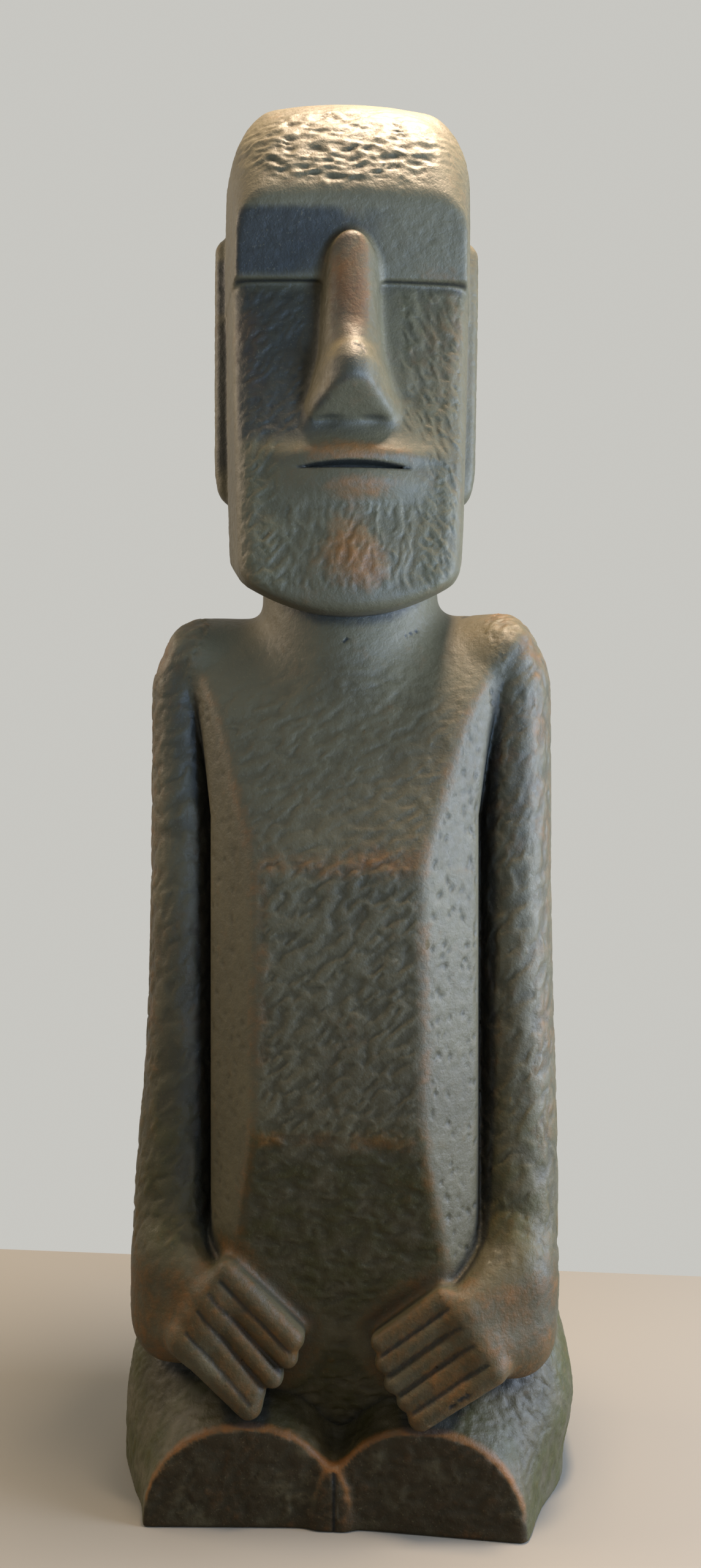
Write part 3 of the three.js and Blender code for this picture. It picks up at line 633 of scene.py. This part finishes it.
def settle(piece):
    """Makes what the modifiers show the piece's own mesh."""
    graph = bpy.context.evaluated_depsgraph_get()
    plain = bpy.data.meshes.new_from_object(piece.evaluated_get(graph),
                                            preserve_all_data_layers=True, depsgraph=graph)
    before = piece.data
    piece.modifiers.clear()
    piece.data = plain
    bpy.data.meshes.remove(before)
    plain.name = piece.name


def tool(piece, material):
    """Presses the tool marks into a skin."""
    sizes = bpy.context.scene.moai_tooling
    tree = bpy.data.node_groups.get("Tool marks") or tooling_tree()
    marks = piece.modifiers.new("Tool marks", "NODES")
    marks.node_group = tree
    for item in tree.interface.items_tree:
        key = item.name.lower().replace(" ", "_")
        if item.in_out == "INPUT" and hasattr(sizes, key):
            marks[item.identifier] = getattr(sizes, key)
        elif item.name == "Material":
            marks[item.identifier] = material
    settle(piece)


def thin(piece):
    """Takes triangles out of the calm places until the piece has no more than it may."""
    count = 2 * len(piece.data.polygons)
    if count > MOST_TRIANGLES:
        fewer = piece.modifiers.new("Fewer triangles", "DECIMATE")
        fewer.ratio = MOST_TRIANGLES / count
        fewer.use_collapse_triangulate = True
        settle(piece)
        piece.data.shade_smooth()


# ---------------------------------------------------------------- patina

def patina():
    """Cast stone, moulded, stained and waxed.

    The patina stays dark in the dents, rubbed edges show rusty brown, and the wax gives a soft,
    low sheen. Shade is painted in: cold dark in creases, recesses and under the brow, and dark
    brown low on the knees and lap, mixed there with a real brown stain.
    """
    found = bpy.data.materials.get("cast_stone_stained_waxed")
    if found:
        return found
    tones = bpy.context.scene.moai_patina
    material = bpy.data.materials.new("cast_stone_stained_waxed")
    material.use_nodes = True
    tree = material.node_tree
    tree.nodes.clear()
    place = add(tree, "ShaderNodeTexCoord").outputs["Object"]

    def layer(name):
        return add(tree, "ShaderNodeAttribute", attribute_name=name).outputs["Fac"]

    def maths(operation, a, b=0.0, c=0.0):
        return add(tree, "ShaderNodeMath", {0: a, 1: b, 2: c}, operation=operation).outputs[0]

    def spread(value, low, high):
        return add(tree, "ShaderNodeMapRange", {"Value": value, "From Min": low, "From Max": high},
                   interpolation_type="SMOOTHSTEP").outputs[0]

    def blend(share, a, b):
        return add(tree, "ShaderNodeMix", {0: share, 6: a, 7: b}, data_type="RGBA").outputs[2]

    def cloud(size, detail=3.0, roughness=0.55):
        """Soft patches of about this size in millimetres."""
        return add(tree, "ShaderNodeTexNoise",
                   {"Vector": place, "Scale": 1000 / size, "Detail": detail,
                    "Roughness": roughness}).outputs[0]

    def tone(value, bright=1.0):
        return (*[min(c * bright, 1) for c in value], 1.0)

    # the stone in two tones, green bloom, then in patches dark brown: stain and painted shade
    broad, patch, grain, fine = cloud(90), cloud(24), cloud(5), cloud(1.6, 2.0, 0.6)
    stone = blend(spread(broad, 0.3, 0.7), tone(tones.stone), tone(tones.stone, 0.72))
    moss = maths("MULTIPLY", layer("moss"), spread(patch, 0.3, 0.7))
    stone = blend(moss, stone, tone(tones.moss))
    stain_and_low_shade = maths("MULTIPLY", layer("stain_and_low_shade"), spread(patch, 0.15, 0.5))
    stone = blend(stain_and_low_shade, stone, tone(tones.stain_and_low_shade))
    # brown where it is painted and the surface is exposed, broken up by patch and grain
    rubbed = maths("MULTIPLY_ADD", patch, 0.9, layer("rust"))
    rubbed = maths("MULTIPLY_ADD", grain, 0.6, rubbed)
    rubbed = maths("MULTIPLY_ADD", layer("wear"), 0.12, rubbed)
    stone = blend(maths("MULTIPLY", spread(rubbed, 0.82, 1.7), 0.85), stone, tone(tones.worn))
    # dark patina in dents, painted shade in creases and under the brow, pale specks of bare stone
    low = spread(maths("MULTIPLY_ADD", grain, 0.0005, layer("relief")), 0.0005, -0.0009)
    stone = blend(maths("MULTIPLY", low, 0.5), stone, tone(tones.dark))
    painted_shade_share = maths("MULTIPLY_ADD", grain, 0.3, layer("cavity"))
    stone = blend(maths("MULTIPLY", spread(painted_shade_share, 0.5, 1.3), 0.85), stone, tone(tones.deep))
    speck = maths("MULTIPLY", spread(fine, 0.62, 0.72), 0.22)
    stone = blend(speck, stone, tone(tones.stone, 1.9))
    stone = blend(layer("scar"), stone, tone(tones.deep))

    # the wax is patchy, and the fine grain shows through it
    rough = maths("MULTIPLY_ADD", grain, 0.3, 0.42)
    relief = maths("MULTIPLY_ADD", fine, 0.00022, maths("MULTIPLY", grain, 0.0006))
    bump = add(tree, "ShaderNodeBump", {"Height": relief, "Strength": 0.9, "Distance": 1.0})
    shader = add(tree, "ShaderNodeBsdfPrincipled",
                 {"Base Color": stone, "Roughness": rough, "Specular IOR Level": 0.22,
                  "Normal": bump.outputs[0]})
    add(tree, "ShaderNodeOutputMaterial", {"Surface": shader.outputs[0]})
    return material


# ---------------------------------------------------------------- where the marks lie

def bands(value, *edges):
    """One within each (start, end) band of a value, fading over its soft edges."""
    held = 0
    for start, end, soft in edges:
        held = np.maximum(held, ramp(start - soft, start + soft, value)
                          * (1 - ramp(end - soft, end + soft, value)))
    return held


def spot(x, z, place, size):
    """One at a place on the front, fading to nothing at its size (across, height)."""
    return 1 - ramp(0.25, 1, np.hypot((x - place[0]) / size[0], (z - place[1]) / size[1]))


def scratches(x, z, lines):
    """One along the middle of each (x, z, x, z, width) scratch, nothing past its width."""
    held = np.zeros_like(x)
    for ax, az, bx, bz, width in lines:
        run = (bx - ax) ** 2 + (bz - az) ** 2
        t = np.clip(((x - ax) * (bx - ax) + (z - az) * (bz - az)) / run, 0, 1)
        off = np.hypot(x - ax - t * (bx - ax), z - az - t * (bz - az))
        held = np.maximum(held, 1 - ramp(width * 0.3, width, off))
    return held


WEAR_REACH, SHUT_REACH = 7, 12    # how far inside and outside the skin its bends are felt


def edge_layers(points, away):
    """How exposed and how sheltered each point is, from the figure around it."""
    wear = (whole_form(*(points - away * WEAR_REACH).T) + WEAR_REACH) / 5
    # how sheltered each point is, which is painted as shade in creases and hollows
    painted_occlusion = (SHUT_REACH - whole_form(*(points + away * SHUT_REACH).T)) / 10
    return np.clip(wear, 0, 1), np.clip(painted_occlusion, 0, 1)


# Single scratches, each (x, z, x, z, width)
NOSE_NICK = ((-1, 788, 7, 784, 1.4), (4, 789, 6, 781, 1.0))
NECK_CRACKS = ((1, 601, 6, 604, 0.9), (44, 607, 52, 611, 0.8), (84, 626, 91, 630, 1.6))
HAND_CHIPS = ((82, 96, 88, 99, 2.0), (76, 91, 79, 93, 1.6))
KNEE_SEAM = ((-2, -5, -2, 38, 1.4),)
GROOVE = 2.0    # width of the line between two fingers

# Heights between which the parts of the face lie, and how soft their ends are
BROW, NOSE, MOUTH, CHIN, CHEEK = (
    (848, 892, 6), (738, 875, 6), (692, 738, 6), (632, 692, 6), (632, 842, 5))
# Heights under the brow and around the eyes where shadow is painted, and how soft their ends are
UNDER_BROW, UNDER_EYES = (846, 888, 6), (730, 846, 12)

# Rust on the face: share, place (x, z) and size (across, height)
FACE_RUST = (
    (0.6, (-2, 655), (34, 40)), (0.55, (0, 723), (50, 11)), (0.5, (0, 835), (26, 60)),
    (0.3, (64, 806), (36, 60)), (0.3, (-70, 800), (24, 60)), (0.4, (0, 700), (44, 12)),
)


def between(lower, upper):
    """The incised line between two fingers, and its width."""
    ends = [((a[0] + b[0]) / 2, (a[1] + b[1]) / 2) for a, b in zip(lower[:2], upper[:2])]
    return (*ends[0], *ends[1], GROOVE)


# Only between fingers of one hand
FINGER_GROOVES = [between(a, b) for a, b in zip(FINGERS, FINGERS[1:]) if a[0][0] * b[0][0] > 0]


def head_weights(points, away):
    """Share of each mark and tone on the head; the slant in radians."""
    x, y = head_place(points[:, 0], points[:, 1])
    z = points[:, 2]
    ax = np.abs(x)
    front = ramp(0.45, 0.8, -away[:, 1])
    brow = front * bands(z, BROW) * ramp(19, 27, ax + np.maximum(z - 875, 0))
    nose_zone = front * (1 - ramp(26, 36, ax)) * bands(z, NOSE)
    mouth_zone = front * (1 - ramp(40, 60, ax)) * bands(z, MOUTH)
    chin = front * (1 - ramp(36, 56, ax)) * bands(z, CHIN)
    cheek = front * bands(z, CHEEK) * ramp(28, 36, ax - np.maximum(760 - z, 0) * 0.1)
    cheek = cheek * (1 - ramp(72, 80, ax)) * (1 - mouth_zone)
    band = 1.5 * spot(x, z, (-6, 934), (96, 52)) * ramp(894, 910, z)
    side = ramp(0.5, 0.8, np.abs(away[:, 0]))
    back = ramp(0.3, 0.7, away[:, 1])
    crown = ramp(0.7, 0.95, away[:, 2]) * ramp(900, 950, z)
    slant = np.where(x < 0, 40, -58) + 0 * z
    slant = np.where((ax < 42) & (z < 700), 82, slant)
    slant = np.where(z > 845, 4, slant)
    rust = np.maximum.reduce([share * spot(x, z, at, size) for share, at, size in FACE_RUST])
    strokes = np.maximum.reduce([0.85 * cheek, 0.75 * chin, 0.2 * brow, 0.3 * side, 0.3 * back])
    # painted shadow under the brow and around the eyes, heavier on the left, away from the side
    # light
    painted_face_shadow = np.maximum(bands(z, UNDER_BROW) * mix(1.2, 0.35, ramp(-30, 60, x + 888 - z)),
                      bands(z, UNDER_EYES) * mix(0.95, 0.5, ramp(-60, 60, x)))
    return {
        "scallops": np.maximum.reduce([np.minimum(band, 1), 0.1 * brow, 0.3 * back, 0.25 * crown]),
        "strokes": strokes * (1 - nose_zone),
        "coarse": np.where(back > 0.5, 1.6, 1.0),
        "pits": 0.2 * brow,
        "slant": np.radians(slant),
        "rust": rust * front,
        "moss": 0.2 * cheek,
        "stain_and_low_shade": 0 * z,
        "cavity": painted_face_shadow * front,
        "scar": scratches(x, z, NOSE_NICK) * front,
    }


def body_weights(points, away):
    """Share of each mark and tone on the trunk, arms and hands; the slant in radians."""
    x, y, z = points.T
    ax = np.abs(x)
    arms = ramp(-3, 3, torso(x, y, z) - arm(x, y, z))
    necks = ramp(-4, 4, torso(x, y, z) - neck(x, y, z)) * ramp(600, 640, z)
    facing = ramp(-0.1, 0.5, -away[:, 1])
    reach = fingers(x, y, z)
    hands = np.maximum((1 - ramp(8, 22, reach)) * facing,
                       bands(z, (80, 172, 14)) * arms * facing)
    ridge = 1 - ramp(1.5, 6, np.abs(torso_front(x, y, z) - torso_flank(x, y, z)))
    ridge = ridge * ramp(0.3, 0.6, -away[:, 1]) * (1 - arms) * (1 - hands)
    ridge = ridge * (1 - ramp(560, 610, z))
    front = ramp(0.85, 0.95, -away[:, 1]) * (1 - arms) * (1 - hands)
    flank = bands(-away[:, 1], (0.35, 0.86, 0.05)) * (1 - arms) * (1 - hands)
    calm = (1 - necks) * (1 - ridge * 0.9) * (1 - 0.85 * ramp(560, 612, z) * (1 - arms))
    calm = calm * ramp(2, 14, z)
    back = ramp(0.3, 0.7, away[:, 1])
    slant = np.where(z > 446, 30, np.where(z > 265, 38, 8))
    slant = np.where(arms > 0.5, np.where(x < 0, 42, 55), slant)
    breaks = bands(z, (440, 456, 8), (256, 268, 8)) * (1 - ramp(50, 62, ax)) * front
    edge_panel = bands(z, (300, 440, 12)) * bands(x, (-60, -46, 5)) * front
    grooves = 0.6 * scratches(x, z, FINGER_GROOVES) * (1 - ramp(6, 12, reach))
    return {
        "scallops": 0.12 * back,
        "strokes": np.maximum.reduce([mix(1.1, 0.72, ramp(440, 460, z)) * front,
                                      arms * (1 - hands) * mix(1, 0.5, back),
                                      0.4 * back, 0.25 * flank, 0.12 * hands]) * calm,
        "coarse": mix(1.15, 1.7, np.maximum(arms, back)),
        "pits": np.where(x < 0, 0.7, 1.2) * flank * calm,
        "slant": np.radians(slant),
        "rust": np.maximum.reduce([0.25 * ridge, 0.45 * breaks, 0.3 * edge_panel, 0.28 * hands,
                                   0.2 * arms * ramp(0.3, 0.9, np.abs(away[:, 0])),
                                   0.35 * ramp(600, 640, z) * arms]),
        "moss": np.maximum(bands(z, (60, 268, 10)) * front,
                           0.6 * bands(z, (60, 280, 60)) * np.maximum(arms, hands)),
        # dark brown low on the lap and on the hands: partly stain, partly painted shade
        "stain_and_low_shade": np.maximum(0.5 * bands(z, (40, 262, 10)) * front, 0.45 * hands),
        "scar": np.maximum(scratches(x, z, NECK_CRACKS + HAND_CHIPS), grooves) * facing,
    }


def knees_weights(points, away):
    """Share of each mark and tone on the thighs and knees; the slant in radians."""
    x, y, z = points.T
    front = ramp(0.5, 0.9, -away[:, 1])
    behind = y + KNEE_FRONT + np.where(x < 0, LEFT_SPLAY, RIGHT_SPLAY) * np.abs(x)
    rim = (1 - ramp(2, 8, behind)) * (1 - ramp(0.88, 0.98, -away[:, 1])) * ramp(8, 24, z)
    return {
        "scallops": 0.15 * (1 - front),
        "strokes": mix(0.6, 1.3, front) * (1 - rim) * ramp(2, 12, z),
        "coarse": 1.1 + 0 * z,
        "pits": 0 * front,
        "slant": np.radians(np.where(x < 0, 30, 20)),
        "rust": 0.6 * rim + 0.05 * front,
        "moss": (1 - front) * (1 - 0.9 * ramp(0.2, 0.6, away[:, 1])),
        # dark brown on the knee fronts and between the knees: partly stain, partly painted shade
        "stain_and_low_shade": np.maximum(front * (1 - rim), 0.55 * (1 - ramp(60, 150, np.abs(x)))),
        "scar": scratches(x, z, KNEE_SEAM) * front,
    }


def dress(name, form, room, pitch, weights):
    """Skins a form, marks where it is tooled, worn and painted with shade, and finishes it."""
    pitch = pitch * 1000 * 1
    points, faces = skin(form, *room, pitch)
    away, _ = slope(form, points)
    layers = weights(points, away)
    layers["wear"], painted_occlusion = edge_layers(points, away)
    # the sheltered amount is painted as cold dark shade, along with the head's painted shadow
    layers["cavity"] = np.maximum(layers.get("cavity", 0), painted_occlusion)
    piece = new_piece(name, to_frame(points), faces, layers)
    tool(piece, patina())
    thin(piece)
    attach(piece, "root")
    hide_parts("moai_figure")


class MOAI_OT_head(bpy.types.Operator):
    """Build the turned head with its brow, long nose, mouth and ears"""

    bl_idname = "moai.make_head"
    bl_label = "Head"

    def execute(self, context):
        dress("moai_head", head_form, HEAD_ROOM, context.scene.moai_tooling.head_pitch,
              head_weights)
        return {"FINISHED"}


class MOAI_OT_body(bpy.types.Operator):
    """Build the keeled trunk, neck, arms and hands"""

    bl_idname = "moai.make_body"
    bl_label = "Body"

    def execute(self, context):
        dress("moai_body", body_form, BODY_ROOM, context.scene.moai_tooling.body_pitch,
              body_weights)
        return {"FINISHED"}


class MOAI_OT_knees(bpy.types.Operator):
    """Build the thighs and knees that the figure rests on"""

    bl_idname = "moai.make_knees"
    bl_label = "Knees"

    def execute(self, context):
        dress("moai_knees", knees_form, KNEES_ROOM, context.scene.moai_tooling.knees_pitch,
              knees_weights)
        return {"FINISHED"}


# ---------------------------------------------------------------- studio

# Metres; the lens is in millimetres on a sensor of this height
CAMERA_PLACE = (0.0874, -0.8693, 0.502)
CAMERA_LENS, CAMERA_SENSOR = 27.04, 36.0
FLOOR_SIDE, FLOOR_BACK = 1.2, 0.36

# Each light: name, place, target, (width, height), colour, the setting that its power is a
# share of, that share, and its spread in degrees
LIGHTS = (
    ("top light", (0.17, -0.06, 1.72), (0, -0.02, 0.9), (0.3, 0.3), "#ffe3c6", "top", 1, 180),
    ("side light", (1.35, -0.15, 0.6), (0, 0, 0.55), (0.7, 1.0), "#d3e2fc", "side", 1, 180),
    ("left light", (-1.2, 0, 1.15), (0, 0, 0.6), (0.7, 0.7), "#ffe8cc", "side", 0.25, 180),
    ("low light", (0.85, -1.05, 0.35), (0.03, -0.1, 0.78), (0.4, 0.4), "#9cc0f0", "side",
     0.05, 50),
)


def aim(thing, target):
    """Turns a light to face a place."""
    toward = Vector(target) - thing.location
    thing.rotation_euler = toward.to_track_quat("-Z", "Y").to_euler()


def soft_light(name, place, target, size, code, power, spread):
    """A wide, soft light that faces a place."""
    lamp = bpy.data.lights.new(name, "AREA")
    lamp.shape = "RECTANGLE"
    lamp.size, lamp.size_y = size
    lamp.energy = power
    lamp.color = linear(code)
    lamp.spread = math.radians(spread)
    light = bpy.data.objects.new(name, lamp)
    light.location = place
    bpy.context.scene.collection.objects.link(light)
    aim(light, target)


class MOAI_OT_studio(bpy.types.Operator):
    """Set the pale floor, soft lights and camera"""

    bl_idname = "moai.make_studio"
    bl_label = "Studio"

    def execute(self, context):
        look = context.scene.moai_studio
        eye = bpy.data.cameras.new("camera")
        eye.sensor_fit = "VERTICAL"
        eye.sensor_height = CAMERA_SENSOR
        eye.lens = CAMERA_LENS
        camera = bpy.data.objects.new("camera", eye)
        camera.location = CAMERA_PLACE
        camera.rotation_euler = (math.pi / 2, 0, look.yaw)
        context.scene.collection.objects.link(camera)
        context.scene.camera = camera

        side, back = FLOOR_SIDE, FLOOR_BACK
        mesh = bpy.data.meshes.new("floor")
        mesh.from_pydata([(-side, -side, 0), (side, -side, 0), (side, back, 0), (-side, back, 0)],
                         [], [(0, 1, 2, 3)])
        floor = bpy.data.objects.new("floor", mesh)
        context.scene.collection.objects.link(floor)
        # matt floor paint, rolled on: an even, pale ground with no gleam of its own
        paint = bpy.data.materials.new("floor_painted_matt")
        paint.use_nodes = True
        tree = paint.node_tree
        tree.nodes.clear()
        shade = add(tree, "ShaderNodeBsdfPrincipled",
                    {"Base Color": (*look.floor, 1.0), "Roughness": 0.7})
        add(tree, "ShaderNodeOutputMaterial", {"Surface": shade.outputs[0]})
        mesh.materials.append(paint)

        world = bpy.data.worlds.new("surround")
        world.use_nodes = True
        tree = world.node_tree
        tree.nodes.clear()
        glow = add(tree, "ShaderNodeBackground",
                   {"Color": (*look.wall, 1.0), "Strength": look.surround})
        add(tree, "ShaderNodeOutputWorld", {"Surface": glow.outputs[0]})
        context.scene.world = world

        for name, place, target, size, code, power, share, spread in LIGHTS:
            soft_light(name, place, target, size, code, getattr(look, power) * share, spread)
        context.scene.view_settings.view_transform = "Standard"
        return {"FINISHED"}


# ---------------------------------------------------------------- panel

class MOAI_PT_panel(bpy.types.Panel):
    """Lists the figure's pieces and their settings"""

    bl_idname = "MOAI_PT_panel"
    bl_label = "Kneeling Moai Figure"
    bl_space_type = "VIEW_3D"
    bl_region_type = "UI"
    bl_category = "Moai"

    def draw(self, context):
        layout = self.layout
        for kind in STEPS:
            layout.operator(kind.bl_idname)
        for title, group in GROUPS.items():
            box = layout.box()
            box.label(text=title.replace("moai_", "").title())
            for key in group.__annotations__:
                box.prop(getattr(context.scene, title), key)


STEPS = (MOAI_OT_studio, MOAI_OT_head, MOAI_OT_body, MOAI_OT_knees)
GROUPS = {"moai_tooling": MoaiTooling, "moai_patina": MoaiPatina, "moai_studio": MoaiStudio}


def register():
    for kind in (*GROUPS.values(), *STEPS, MOAI_PT_panel):
        bpy.utils.register_class(kind)
    for name, group in GROUPS.items():
        setattr(bpy.types.Scene, name, bpy.props.PointerProperty(type=group))


def unregister():
    for name in GROUPS:
        delattr(bpy.types.Scene, name)
    for kind in reversed((*GROUPS.values(), *STEPS, MOAI_PT_panel)):
        bpy.utils.unregister_class(kind)


def main():
    register()
    bpy.ops.moai.make_studio()
    bpy.ops.moai.make_head()
    bpy.ops.moai.make_body()
    bpy.ops.moai.make_knees()


if __name__ == "__main__":
    main()
